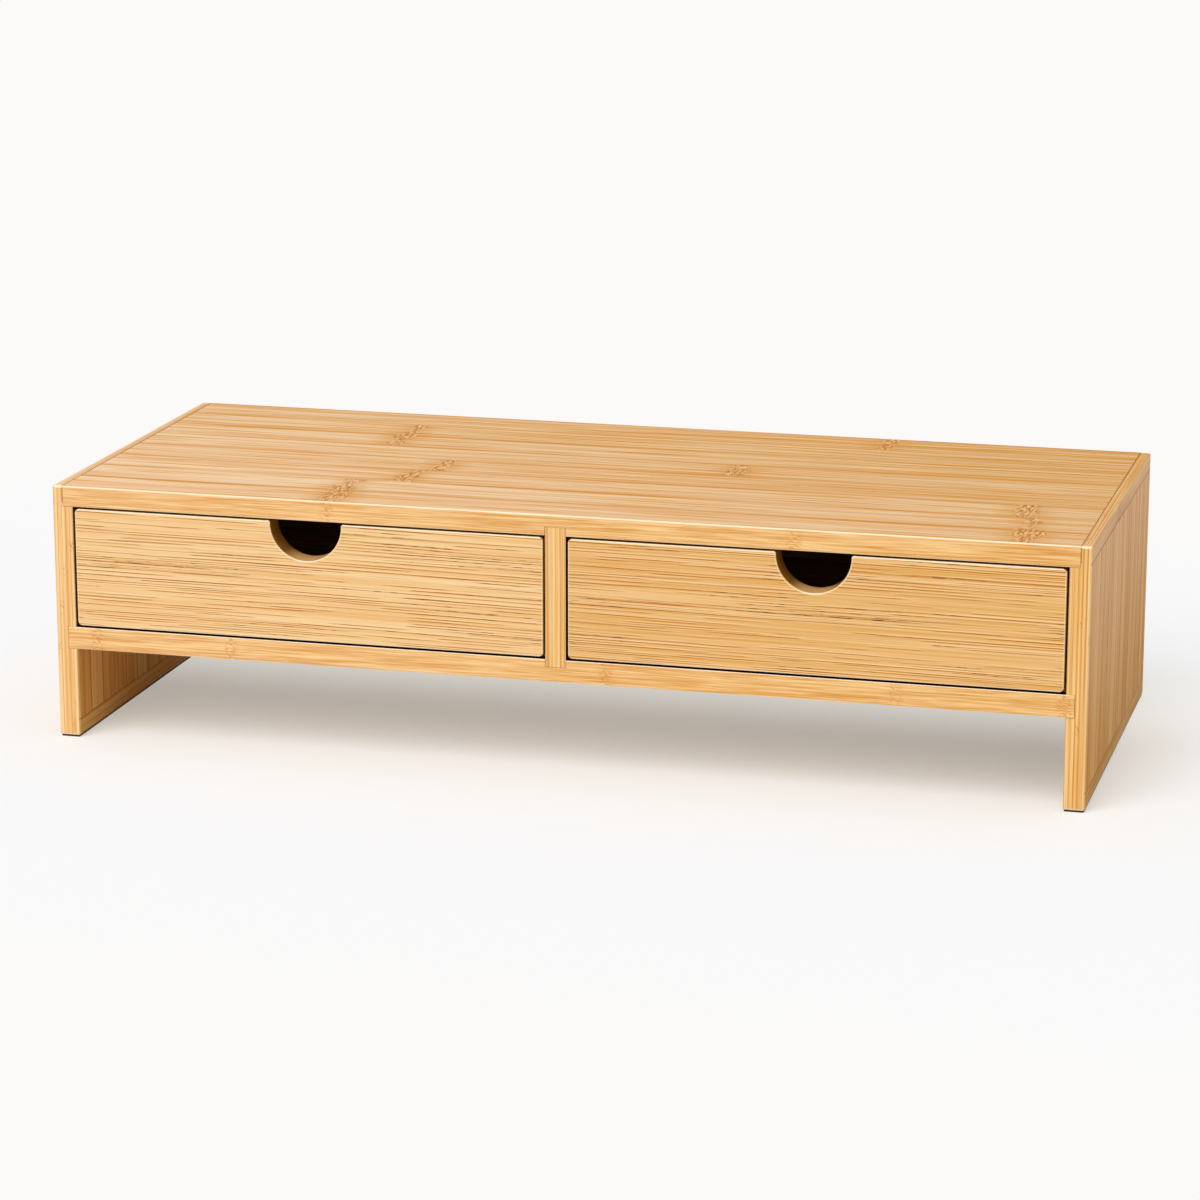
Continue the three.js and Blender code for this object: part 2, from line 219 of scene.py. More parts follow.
floor_mesh = bpy.data.meshes.new("floor")
turn = np.linspace(0, 2 * math.pi, floor_sides, endpoint=False)
rim = np.stack([np.cos(turn), np.sin(turn), np.zeros_like(turn)], axis=1) * floor_reach
floor_mesh.from_pydata(rim.tolist(), [], [list(range(len(rim)))])
floor = bpy.data.objects.new("floor", floor_mesh)
scene.collection.objects.link(floor)
floor_material, paint, floor_output = new_material("studio_floor")
plainly = seen_plainly(paint)
floor_shade = plainly.tint(floor_bounce_colour, floor_colour)
matt = paint.node("ShaderNodeBsdfDiffuse", {}, {"Color": floor_shade})
floor_place = paint.node("ShaderNodeTexCoord", {}, {}, "Object")
aside, behind = (paint.node("ShaderNodeSeparateXYZ", {}, {0: floor_place}, axis) for axis in "XY")
away = (abs(aside) - stand_half_width).math("MAXIMUM", abs(behind) - stand_half_depth)
spread = (away + glow_start) / glow_span
# Painted light and shade: the floor glows in a warmer colour under the stand, where its shadow lies, and a
# cooler one just round it.
glow_colour = paint.node("ShaderNodeValToRGB", {"stops": glow_stops}, {0: spread})
glow = paint.node("ShaderNodeEmission", {}, {"Color": glow_colour})
# Painted light: the glow is stronger where the floor lies open beside and behind the stand, which lightens
# the shadow there.
open_glow = away.rise(*open_aside).math("MAXIMUM", behind.rise(*open_behind))
own_light = (floor_own_light + floor_open_light * open_glow) * plainly
lifted = paint.node("ShaderNodeMixShader", {}, {0: own_light, 1: matt, 2: glow})
paint.tree.links.new(lifted.socket, floor_output.inputs["Surface"])
floor_mesh.materials.append(floor_material)


# Top board
# One flat-pressed bamboo board, eight strips wide, glued edge to edge and lacquered. It drops
# into rabbets in the side panels, and its underside is routed for the divider and back panel.
glue_line = 0.0002
hand_round = 0.001
light_ease = 0.0005
cut_overrun = 0.005
same_point = 1e-7
sharp_from = math.radians(35)
shelf_low, shelf_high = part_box("shelf_board")
top_low, top_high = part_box("top_board")

# Shapes are in metres and the patterns on them in millimetres.
millimetres = 1000

# Painted shade in the mouths of the drawer bays. It is dark from just behind the boards' front
# edges to a few millimetres in, and the dark reaches a little way into the faces round them.
bay_front = shelf_low.y * millimetres
bay_floor = shelf_high.z * millimetres
bay_roof = top_low.z * millimetres
bay_half_width = -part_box("left_side_core")[1].x * millimetres
mouth_start = (0.2, 0.6)
mouth_end = (7.0, 5.0)
mouth_skin = 0.3
mouth_full = 0.1
mouth_shade = linear(36, 19, 8)

# Painted sheen added to the colour: what it adds on each face, and its change in a millimetre.
# A surface belongs to a face by how far it faces along the face's axis.
faces_along = (0.5, 0.9)
top_sheen = 0.106
top_sheen_to_left = 0.00021
top_sheen_to_front = 0.00046
front_sheen = 0.02
front_sheen_to_left = 0.0001
side_sheen_upwards = 0.0014
side_sheen_loss = 0.045

# The lacquer itself, and the painted highlight on the eased edges, by how far their surface
# faces along Y and along X.
satin_roughness = 0.46
roughness_swing = 0.10
satin_specular = 0.02
relief_strength = 0.2
relief_depth = 0.00006
rim_from_top = (0.12, 0.45)
rim_from_front = (0.995, 0.93)
rim_from_side = (0.25, 0.1)
rim_highlight_strength = 0.75
rim_highlight = linear(254, 237, 210)

# The grain of each strip is shifted along by up to strip_shift, and a grain as wide as
# even_across doesn't change across a strip.
strip_shift = 900
even_across = 900
line_waver = 0.3


def arc(centre, radius, start, end, steps):
    """Points on an arc: centre + radius * (cos, sin) of evenly spaced angles."""
    angle = np.linspace(start, end, steps + 1)
    return np.array(centre) + radius * np.stack([np.cos(angle), np.sin(angle)], axis=1)


def rounded_rectangle(low, high, low_radius, high_radius, steps=6):
    """A rectangle with a quarter circle at each corner, counterclockwise from the lower left."""
    quarter = math.pi / 2
    return np.concatenate([
        arc((low[0] + low_radius, low[1] + low_radius), low_radius, 2 * quarter, 3 * quarter, steps),
        arc((high[0] - low_radius, low[1] + low_radius), low_radius, 3 * quarter, 4 * quarter, steps),
        arc((high[0] - high_radius, high[1] - high_radius), high_radius, 0, quarter, steps),
        arc((low[0] + high_radius, high[1] - high_radius), high_radius, quarter, 2 * quarter, steps),
    ])


def slab(name, outline, axes, start, end, ease=0.0, steps=6):
    """A board: an outline in the plane of the first two axes, carried along the third one.
    Over the last ease at each end the outline draws in by ease * (1 - sin a) as it goes
    ease * (1 - cos a) deep, for a from 0 at the face to 90 degrees."""
    ahead = np.roll(outline, -1, axis=0) - outline
    ahead /= np.linalg.norm(ahead, axis=1, keepdims=True)
    normal = np.stack([ahead[:, 1], -ahead[:, 0]], axis=1)
    before = np.roll(normal, 1, axis=0)
    mitre = (before + normal) / (1 + np.sum(before * normal, axis=1, keepdims=True))
    angle = np.linspace(0, math.pi / 2, steps + 1) if ease else np.array([math.pi / 2])
    inset = ease * (1 - np.sin(angle))
    depth = ease * (1 - np.cos(angle)) if ease else np.zeros(1)
    insets = np.concatenate([inset, inset[::-1]])
    depths = np.concatenate([start + depth, end - depth[::-1]])
    points = np.empty((len(insets), len(outline), 3))
    points[:, :, axes[:2]] = outline - mitre * insets[:, None, None]
    points[:, :, axes[2]] = depths[:, None]
    return closed_piece(name, points)


def closed_piece(name, rings):
    """Joins rings of points, one after another, into a solid with a flat face at each end."""
    count, around = rings.shape[:2]
    index = np.arange(count * around).reshape(count, around)
    after = np.roll(index, -1, axis=1)
    sides = np.stack([index[:-1], after[:-1], after[1:], index[1:]], axis=-1).reshape(-1, 4)
    ends = [index[0].tolist(), index[-1].tolist()]
    mesh = bpy.data.meshes.new(name)
    mesh.from_pydata(rings.reshape(-1, 3).tolist(), [], sides.tolist() + ends)
    shape = bmesh.new()
    shape.from_mesh(mesh)
    bmesh.ops.remove_doubles(shape, verts=shape.verts, dist=same_point)
    bmesh.ops.recalc_face_normals(shape, faces=shape.faces)
    shape.to_mesh(mesh)
    shape.free()
    piece = bpy.data.objects.new(name, mesh)
    scene.collection.objects.link(piece)
    return piece


def block(low, high):
    """A plain block between two corners, used as a cutter."""
    low, high = np.minimum(low, high), np.maximum(low, high)
    outline = np.array([(low[0], low[1]), (high[0], low[1]), (high[0], high[1]), (low[0], high[1])])
    return slab("cutter", outline, [0, 1, 2], low[2], high[2])


def grown(low, high, *reach):
    """The two corners of a box, moved outwards by a reach along each axis."""
    return np.array(low) - reach, np.array(high) + reach


def cut(piece, low, high, operation="DIFFERENCE"):
    """Routs the block between two corners out of a piece, or keeps only what lies in it."""
    cutter = block(low, high)
    routing = piece.modifiers.new("routing", "BOOLEAN")
    routing.operation = operation
    routing.solver = "EXACT"
    routing.object = cutter
    graph = bpy.context.evaluated_depsgraph_get()
    piece.data = bpy.data.meshes.new_from_object(piece.evaluated_get(graph))
    piece.modifiers.clear()
    bpy.data.objects.remove(cutter)


def finish(piece, node, body, material):
    """Shades the rounds smooth and the flats flat, and puts the piece in its node's place."""
    mesh = piece.data
    mesh.materials.clear()
    mesh.materials.append(material)
    mesh.shade_smooth()
    mesh.set_sharp_from_angle(angle=sharp_from)
    weights = piece.modifiers.new("flat_faces", "WEIGHTED_NORMAL")
    weights.keep_sharp = True
    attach(piece, body)
    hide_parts(node)


class Grain:
    """Bamboo's three directions, in millimetres of Object coordinates: along the fibres, across
    the strips and through them. A pattern in them is solid, so it carries on round an edge."""

    def __init__(self, along, across, through):
        self.along = along
        self.across = across
        self.through = through
        self.place = along.node("ShaderNodeCombineXYZ", {}, {0: along, 1: across, 2: through})

    def sized(self, length, width, seed):
        """The place in grains of a length and a width, started at a seed."""
        return self.place.node("ShaderNodeMapping", {}, {
            "Vector": self.place,
            "Location": (seed, 0, 0),
            "Scale": (1 / length, 1 / width, 1 / width),
        })

    def noise(self, length, width, seed, detail=2.0, roughness=0.5):
        """Noise from -0.5 to 0.5, in grains of a length and a width."""
        sockets = {
            "Vector": self.sized(length, width, seed),
            "Scale": 1.0,
            "Detail": detail,
            "Roughness": roughness,
        }
        return self.place.node("ShaderNodeTexNoise", {}, sockets) - 0.5

    def streaks(self, tone, layers):
        """Adds layers of noise to a tone. A layer is the length and width of its grains, its seed,
        detail and roughness, and its strength."""
        for *kind, strength in layers:
            tone = tone + self.noise(*kind) * strength
        return tone

    def from_speck(self, length, width, seed):
        """Distance in millimetres from the nearest speck, of one in each length by width."""
        sized = self.sized(length, width, seed)
        speck = sized.node(
            "ShaderNodeTexVoronoi",
            {"voronoi_dimensions": "2D"},
            {"Vector": sized, "Scale": 1.0},
            "Position",
        )
        away = sized.node("ShaderNodeVectorMath", {"operation": "SUBTRACT"}, {0: sized, 1: speck})
        flat = away.node(
            "ShaderNodeVectorMath", {"operation": "MULTIPLY"}, {0: away, 1: (length, width, 0)}
        )
        return flat.node("ShaderNodeVectorMath", {"operation": "LENGTH"}, {0: flat}, "Value")


def in_millimetres(tree, axes="XYZ"):
    """The Object coordinates along some axes, in millimetres."""
    place = tree.node("ShaderNodeTexCoord", {}, {}, "Object")
    return [tree.node("ShaderNodeSeparateXYZ", {}, {0: place}, axis) * millimetres for axis in axes]


def grain_of(tree, axes):
    """The grain of a piece whose fibres, strips and thickness lie along these axes."""
    return Grain(*in_millimetres(tree, axes))


class Strips:
    """Strips glued side by side. Each has a number, two random shades and a grain shifted at
    random. The seams between them waver by a share of a strip."""

    line_from = 0.3
    line_spread = 0.3
    line_core = 0.3
    seam_core = 0.1
    faintest_seam = 0.3

    def __init__(self, grain, width, start, waver=0.10):
        self.width = width
        wander = grain.noise(length=160, width=45, seed=3.7, detail=1.0) * (waver * width)
        count = (grain.across + wander - start) / width
        self.number = count.math("FLOOR")
        self.share = count - self.number
        self.seam_distance = (0.5 - abs(self.share - 0.5)) * width
        self.shade = self.random(seed=0.37)
        self.other_shade = self.random(seed=71.9)
        self.grain = Grain(grain.along + self.shade * strip_shift, grain.across, grain.through)

    def random(self, seed):
        """A number from 0 to 1, drawn for each strip."""
        return self.number.node(
            "ShaderNodeTexWhiteNoise", {"noise_dimensions": "1D"}, {"W": self.number + seed}, "Value"
        )

    def line(self, half_width, offset=0.0):
        """1 on one line in each strip, moved aside by an offset, and 0 from its half width on. It
        lies at random between 0.3 and 0.6 of the strip's width."""
        middle = self.line_from + self.line_spread * self.other_shade
        away = abs((self.share - middle) * self.width - offset)
        return away.rise(half_width, half_width * self.line_core)

    def seams(self, half_width):
        """1 in the seams and 0 between them. They fade to 0.3 here and there along them."""
        fade = self.grain.noise(length=130, width=60, seed=9.1, detail=1.0).rise(-0.16, 0.14)
        strength = self.faintest_seam + (1 - self.faintest_seam) * fade
        return self.seam_distance.rise(half_width, self.seam_core) * strength


def facing(tree, axis):
    """How far the surface faces along an axis, either way, from 0 to 1."""
    normal = tree.node("ShaderNodeTexCoord", {}, {}, "Normal")
    return abs(tree.node("ShaderNodeSeparateXYZ", {}, {0: normal}, axis))


def bay_mouth_shade(tree):
    """1 just inside the mouth of a drawer bay, between the shelf and the top board, and 0 from
    7 mm in. There the colour gets painted shade, the shade of the gaps round the drawers."""
    across, deep, height = in_millimetres(tree)
    behind = (deep - bay_front).rise(*mouth_start) * (deep - bay_front).rise(*mouth_end)
    beside = abs(across).rise(bay_half_width + mouth_skin, bay_half_width - mouth_full)
    above = height.rise(bay_floor - mouth_skin, bay_floor - mouth_full)
    below = height.rise(bay_roof + mouth_skin, bay_roof + mouth_full)
    return behind * beside * above * below


def with_painted_sheen(colour):
    """A colour with painted sheen added evenly in all colours: most on the top, to the front
    left, a little on the front, to the left, and some high on the sides."""
    across, deep, height = in_millimetres(colour)
    top = facing(colour, "Z").rise(*faces_along) * (
        top_sheen - across * top_sheen_to_left - deep * top_sheen_to_front
    )
    front = facing(colour, "Y").rise(*faces_along) * (front_sheen - across * front_sheen_to_left)
    side = facing(colour, "X").rise(*faces_along) * (height * side_sheen_upwards - side_sheen_loss)
    sheen = (top + front + side).math("MAXIMUM", 0.0)
    return colour.node("ShaderNodeVectorMath", {"operation": "ADD"}, {0: colour, 1: sheen})


def lacquered(material, output, colour, tone, in_stand=True):
    """Satin clear lacquer that sinks into the grain, so that dark fibres lie a little lower and
    are a little rougher. Long eased edges get a painted highlight, and in the stand the mouths
    of the bays get painted shade."""
    along_front = facing(tone, "Y")
    rim = along_front.rise(*rim_from_top) * along_front.rise(*rim_from_front)
    rim = rim * facing(tone, "X").rise(*rim_from_side)
    # Painted highlight along the long eased edges.
    colour = (rim * rim_highlight_strength).tint(colour, rim_highlight)
    if in_stand:
        # Painted shade in the mouths of the bays.
        colour = bay_mouth_shade(tone).tint(colour, mouth_shade)
    relief = tone.node("ShaderNodeBump", {}, {
        "Strength": relief_strength,
        "Distance": relief_depth,
        "Height": tone,
    })
    shader = tone.node("ShaderNodeBsdfPrincipled", {}, {
        "Base Color": colour,
        "Roughness": satin_roughness - roughness_swing * (tone - 0.5),
        "Specular IOR Level": satin_specular,
        "Normal": relief,
    })
    material.node_tree.links.new(shader.socket, output.inputs["Surface"])
    return material


# Places of the knuckles along the eight strips, from the front, as shares of a span that is a
# little wider than the board. A strip with one knuckle has its other one at 0, off the board.
top_knuckle_span = 700
top_knuckle_shares = [
    (0.309, 0.874),
    (0.305, 0.871),
    (0.345, 0.860),
    (0.360, 0.0),
    (0.603, 0.0),
    (0.294, 0.0),
    (0.294, 0.0),
    (0.706, 0.0),
]
top_strip = 31.25
top_strip_start = -126.6

# Places along X of the knots that show on the front edges of the top board and of the shelf, and
# the brown strokes that lie aslant in each knot.
top_edge_knots = (-134, 136)
shelf_edge_knots = (-275, -193, 29, 194, 287)
knot_reach = (6.0, 1.5)
knot_strength = 0.6
stroke_slant = 0.35

# The faces of the strips, their streaks, and the long lines in them. Each set of lines has a
# spacing in millimetres and a seed, and a paler line lies beside each brown one.
face_pale = linear(213, 175, 121)
face_deep = linear(198, 130, 0)
face_tone = 0.62
strip_contrast = 0.3
face_streaks = [
    (260, 8.0, 0.3, 2.0, 0.5, 1.3),
    (170, 3.6, 5.3, 2.0, 0.6, 2.2),
    (110, 2.0, 8.8, 2.0, 0.6, 2.2),
]
face_line_sets = [(6.3, 0.6), (9.7, 5.2)]
face_run_length = 130
face_run = (0.0, 0.12)
face_line_half_width = 1.6
pale_line_offset = 2.4
pale_line_strength = 0.4
pale_line = linear(242, 208, 162)
brown_line_strength = 0.8
brown_line = linear(206, 137, 16)

# The seams, each with a soft shade on one side of it.
face_seam_half_width = 2.8
face_seam = linear(203, 131, 8)
most_seam = 0.95
beside_seam = 0.3
beside_share = (0.26, 0.0)
beside_shade = (0.2, 0.9)

# The knuckles: a wide shade, and a narrow ridge of brown and pale scales.
knuckle_sway = 16
knuckle_shade_reach = (20.0, 1.0)
knuckle_shade_strength = 0.55
knuckle_shade = linear(206, 142, 54)
ridge_reach = (7.0, 2.5)
brown_scales = (0.00, 0.07)
brown_scale_strength = 0.9
brown_scale = linear(180, 112, 30)
pale_scales = (-0.03, -0.10)
pale_scale_strength = 0.5

# The narrow edges of the boards, in front and behind, from a little way over their rounds.
edge_start = 0.95
edge_full = 0.35
edge_pale = linear(243, 203, 142)
edge_deep = linear(212, 150, 74)
edge_knot = linear(202, 130, 50)
half_depth = shelf_high.y * millimetres
far_off = 1000


def side_grain(grain, pale, deep, mark, from_knot, length=34):
    """The streaks on the narrow side of a strip: fine, close and pale. Within a few millimetres
    of a knot, brown strokes lie aslant in them."""
    tone = grain.streaks(0.5, [
        (1.6 * length, 1.7, 21.0, 2.0, 0.6, 1.0),
        (length, 0.7, 23.0, 2.0, 0.6, 3.2),
    ])
    slant = Grain(grain.along, grain.across + grain.along * stroke_slant, grain.through)
    stroke = slant.noise(length=2.6, width=0.9, seed=25.0, detail=1.0).rise(0.0, 0.1)
    knot = from_knot.rise(*knot_reach) * stroke * knot_strength
    return knot.tint(with_painted_sheen(tone.tint(deep, pale)), mark), tone


def from_knuckle(grain, strips):
    """How far along a strip of the top its nearest knuckle is, with a sway. The knuckles' places
    come from a ramp that has one stop for each strip."""
    rows = len(top_knuckle_shares)
    stops = [(row / rows, (*shares, 0.0, 1.0)) for row, shares in enumerate(top_knuckle_shares)]
    row_middle = (strips.number + 0.5) / rows
    ramp = row_middle.node("ShaderNodeValToRGB", {"stops": stops}, {0: row_middle})
    ramp.socket.node.color_ramp.interpolation = "CONSTANT"
    channels = [ramp.node("ShaderNodeSeparateColor", {}, {0: ramp}, name) for name in ("Red", "Green")]
    first, second = (abs(grain.along - (share - 0.5) * top_knuckle_span) for share in channels)
    sway = grain.noise(length=60, width=12.0, seed=2.2, detail=1.0) * knuckle_sway
    return abs(first.math("MINIMUM", second) + sway)


def from_edge_knot(grain):
    """How far along a board's edge its nearest knot is. The top board's knots are moved far off
    on the shelf's edge, and the shelf's on the top board's."""
    on_shelf = grain.through.rise(bay_floor, bay_floor - 1)
    on_top = grain.through.rise(bay_floor, bay_floor + 1)
    nearest = grain.along + far_off
    for places, hidden in ((top_edge_knots, on_shelf), (shelf_edge_knots, on_top)):
        for place in places:
            nearest = nearest.math("MINIMUM", abs(grain.along - place) + far_off * hidden)
    return nearest


def flat_pressed_bamboo():
    """Broad strips that lie flat and run along X, with a knuckle or two in each. Their side grain
    shows on the board's front and rear edges."""
    material, tree, output = new_material("flat_pressed_bamboo")
    grain = grain_of(tree, "XYZ")
    strips = Strips(grain, top_strip, top_strip_start)
    tone = strips.grain.streaks(face_tone + (strips.other_shade - 0.5) * strip_contrast, face_streaks)
    colour = with_painted_sheen(tone.tint(face_deep, face_pale))
    for spacing, seed in face_line_sets:
        lines = Strips(grain, spacing, seed, line_waver)
        run = lines.grain.noise(face_run_length, even_across, seed + 30, detail=1.0).rise(*face_run)
        pale = lines.line(face_line_half_width, pale_line_offset) * run * pale_line_strength
        brown = lines.line(face_line_half_width) * run * brown_line_strength
        colour = brown.tint(pale.tint(colour, pale_line), brown_line)
    beside = strips.share.rise(*beside_share) * strips.other_shade.rise(*beside_shade) * beside_seam
    seams = (strips.seams(face_seam_half_width) + beside).math("MINIMUM", most_seam)
    colour = seams.tint(colour, face_seam)

    off = from_knuckle(grain, strips)
    ridge = off.rise(*ridge_reach)
    scales = grain.noise(length=1.4, width=6.5, seed=4.4, roughness=0.6)
    colour = (off.rise(*knuckle_shade_reach) * knuckle_shade_strength).tint(colour, knuckle_shade)
    colour = (ridge * scales.rise(*brown_scales) * brown_scale_strength).tint(colour, brown_scale)
    colour = (ridge * scales.rise(*pale_scales) * pale_scale_strength).tint(colour, pale_line)

    edge = abs(grain.across).rise(half_depth - edge_start, half_depth - edge_full)
    upright = Grain(grain.along, grain.through, grain.across)
    side_colour, side_tone = side_grain(upright, edge_pale, edge_deep, edge_knot, from_edge_knot(grain))
    colour = edge.tint(colour, side_colour)
    return lacquered(material, output, colour, tone + edge * (side_tone - tone))


board_bamboo = flat_pressed_bamboo()
divider_low, divider_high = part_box("centre_divider")
panel_low, panel_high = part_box("back_panel")


def rout_for_divider_and_back(board):
    """Cuts the dado that holds the divider and the groove that holds the back panel."""
    cut(
        board,
        (divider_low.x - glue_line, divider_low.y - cut_overrun, divider_low.z - glue_line),
        (divider_high.x + glue_line, divider_high.y + glue_line, divider_high.z + glue_line),
    )
    cut(board, *grown(panel_low, panel_high, cut_overrun, glue_line, glue_line))


section = rounded_rectangle((top_low.y, top_low.z), (top_high.y, top_high.z), light_ease, hand_round)
top_board = slab("top_board_finished", section, [1, 2, 0], top_low.x, top_high.x)
rout_for_divider_and_back(top_board)
finish(top_board, "top_board", "stand", board_bamboo)


# Shelf
# A second flat-pressed bamboo board, under the drawers. It is glued into dados in the side
# panels, and the divider and the back panel stand in its upper side.
section = rounded_rectangle(
    (shelf_low.y, shelf_low.z), (shelf_high.y, shelf_high.z), light_ease, light_ease
)
shelf_board = slab("shelf_board_finished", section, [1, 2, 0], shelf_low.x, shelf_high.x)
rout_for_divider_and_back(shelf_board)
finish(shelf_board, "shelf_board", "stand", board_bamboo)


# Side panels
# Each is a core of upright strips between two cross strips and two thin lippings. It is shaped
# and rounded whole, then parted at its glue lines and cut for its joints.
face_corner = 0.0005

# The shades of a wood are its pale colour, its deep colour and its seams.
core_shades = (linear(230, 180, 108), linear(206, 140, 54), linear(160, 92, 24))
lipping_shades = (linear(243, 210, 150), linear(223, 162, 80), linear(192, 114, 34))
cross_shades = (linear(226, 180, 112), linear(200, 138, 48), linear(166, 100, 34))
plain_waver = 0.05
plain_contrast = 0.25
plain_seam_strength = 0.75
plain_streaks = [
    (240, 6.0, 0.3, 2.0, 0.6, 2.2),
    (140, 2.4, 5.3, 2.0, 0.6, 1.6),
]
lamination_waver = 0.25
lamination_contrast = 0.4
lamination_seam = 0.42
lamination_seam_strength = 0.8
lamination_streak = 120

# The glued joints of the cross strips, in millimetres, and the reach of the line along each.
side_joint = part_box("right_side_top_strip")[0].x * millimetres
upper_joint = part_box("right_side_top_strip")[0].z * millimetres
lower_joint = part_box("right_side_bottom_strip")[1].z * millimetres
top_joint_reach = (0.7, 0.2)
face_joint_reach = (0.6, 0.2)
joint_strength = 0.7
joint_colour = linear(150, 88, 30)


def plain_strips(name, axes, width, start, shades, half_seam=0.8, alternate=0.0, in_stand=False):
    """Strips of even width with browner seams between them. Their shades differ at random, and
    with alternate, paler and browner ones take turns as well."""
    pale, deep, seam = shades
    material, tree, output = new_material(name)
    strips = Strips(grain_of(tree, axes), width, start, plain_waver)
    by_turns = (strips.number.math("PINGPONG", 1.0) - 0.5) * alternate
    at_random = (strips.other_shade - 0.5) * plain_contrast
    tone = strips.grain.streaks(0.5 + by_turns + at_random, plain_streaks)
    seams = strips.seams(half_seam) * plain_seam_strength
    return lacquered(material, output, seams.tint(with_painted_sheen(tone.tint(deep, pale)), seam), tone, in_stand)


def on_side_joint(tree):
    """1 along the side panels' glued joints: between the cross strips and the core, on the
    panel's faces, and between the panel and the top board."""
    across, height = in_millimetres(tree, "XZ")
    above_joint = height.rise(upper_joint, upper_joint + 1)
    beside_top = abs(abs(across) - side_joint).rise(*top_joint_reach) * above_joint
    upper, lower = (abs(height - joint).rise(*face_joint_reach) for joint in (upper_joint, lower_joint))
    return beside_top.math("MAXIMUM", (upper + lower) * facing(tree, "X").rise(*faces_along))


def narrow_strips(name, axes, width, start, shades):
    """Thin laminations seen from the edge, each a streak with a fine dark line beside it. The
    side panels' glued joints show as brown lines."""
    pale, deep, seam = shades
    material, tree, output = new_material(name)
    strips = Strips(grain_of(tree, axes), width, start, lamination_waver)
    from_knot = strips.grain.from_speck(length=160, width=14, seed=4.6)
    colour, tone = side_grain(strips.grain, pale, deep, seam, from_knot, lamination_streak)
    shade = (strips.other_shade - 0.5) * lamination_contrast
    shade = shade + strips.seams(lamination_seam) * lamination_seam_strength
    colour = shade.math("MAXIMUM", 0.0).tint(colour, seam)
    colour = (on_side_joint(tree) * joint_strength).tint(colour, joint_colour)
    return lacquered(material, output, colour, tone)


core_bamboo = plain_strips(
    "upright_bamboo", "ZYX", width=18.4, start=-123.3, shades=core_shades,
    half_seam=1.5, alternate=0.25, in_stand=True,
)
lipping_bamboo = narrow_strips("lipping_bamboo", "ZXY", width=2.4, start=0.4, shades=lipping_shades)
strip_bamboo = narrow_strips("cross_strip_bamboo", "YXZ", width=1.9, start=0.2, shades=cross_shades)
side_nodes = {
    "core": core_bamboo,
    "top_strip": strip_bamboo,
    "bottom_strip": strip_bamboo,
    "front_lipping": lipping_bamboo,
    "rear_lipping": lipping_bamboo,
}
for side in ("left", "right"):
    boxes = {part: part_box(f"{side}_side_{part}") for part in side_nodes}
    whole_low = np.min([corners[0] for corners in boxes.values()], axis=0)
    whole_high = np.max([corners[1] for corners in boxes.values()], axis=0)
    corner = face_corner + hand_round
    outline = rounded_rectangle(whole_low[1:], whole_high[1:], corner, corner)
    for part, material in side_nodes.items():
        node = f"{side}_side_{part}"
        piece = slab(f"{node}_finished", outline, [1, 2, 0], whole_low[0], whole_high[0], hand_round)
        part_low, part_high = boxes[part]
        cut(piece, part_low, part_high, "INTERSECT")
        for board_low, board_high in ((top_low, top_high), (shelf_low, shelf_high)):
            cut(piece, *grown(board_low, board_high, glue_line, cut_overrun, glue_line))
        cut(piece, *grown(panel_low, panel_high, glue_line, glue_line, glue_line))
        finish(piece, node, "stand", material)


# Foot strips
# A thin strip of black rubber foam is stuck under each side panel, so that the stand doesn't
# slide or scratch.
foot_ease = 0.0002
foot_corner = 3 * foot_ease
foam_cells = 1400.0
foam_dark = linear(14, 13, 12)
foam_light = linear(30, 27, 25)
foam_lightens = (0.1, 0.6)
foam_roughness = 0.85
pit_strength = 0.4
pit_depth = 0.0001

foot_material, foam, foot_output = new_material("foot_foam")
spot = foam.node("ShaderNodeTexCoord", {}, {}, "Object")
cells = foam.node("ShaderNodeTexVoronoi", {}, {"Vector": spot, "Scale": foam_cells}, "Distance")
pits = foam.node("ShaderNodeBump", {}, {
    "Strength": pit_strength,
    "Distance": pit_depth,
    "Height": cells,
})
skin = foam.node("ShaderNodeBsdfPrincipled", {}, {
    "Base Color": cells.rise(*foam_lightens).tint(foam_dark, foam_light),
    "Roughness": foam_roughness,
    "Normal": pits,
})
foam.tree.links.new(skin.socket, foot_output.inputs["Surface"])
for side in ("left", "right"):
    low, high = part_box(f"{side}_foot_strip")
    outline = rounded_rectangle((low.x, low.y), (high.x, high.y), foot_corner, foot_corner)
    foot = slab(f"{side}_foot_strip_finished", outline, [0, 1, 2], low.z, high.z, foot_ease)
    finish(foot, f"{side}_foot_strip", "stand", foot_material)


# Centre divider
# A narrow upright bamboo board, its edge grain to the front. It stands between the drawers, in
# dados in the top board and the shelf.
section = rounded_rectangle(
    (divider_low.x, divider_low.y), (divider_high.x, divider_high.y), light_ease, light_ease
)
divider = slab("centre_divider_finished", section, [0, 1, 2], divider_low.z, divider_high.z)
finish(divider, "centre_divider", "stand", lipping_bamboo)


# Back panel
# A thin lacquered bamboo sheet closes the stand behind the drawers. It slides into grooves in
# the boards and the side panels.
box_shades = (linear(240, 206, 156), linear(216, 170, 112), linear(184, 128, 68))

sheet_bamboo = plain_strips("sheet_bamboo", "XZY", width=14.0, start=2.0, shades=box_shades)
section = rounded_rectangle(
    (panel_low.x, panel_low.z), (panel_high.x, panel_high.z), light_ease, light_ease
)
back_panel = slab("back_panel_finished", section, [0, 2, 1], panel_low.y, panel_high.y)
finish(back_panel, "back_panel", "stand", sheet_bamboo)


# Drawer fronts
# A thick side-pressed board with a half-round finger notch, sawn and sanded. Its sawn edges and
# the notch are browner with painted shade. Its ends lap over the walls and a groove behind it holds the
# bottom.
front_round = 0.0008
front_corner = 0.0025
notch_radius = 0.0212
lip_radius = 0.0012
lap_depth = 0.009
groove_depth = 0.004
corner_steps = 8
lip_steps = 6
notch_steps = 72
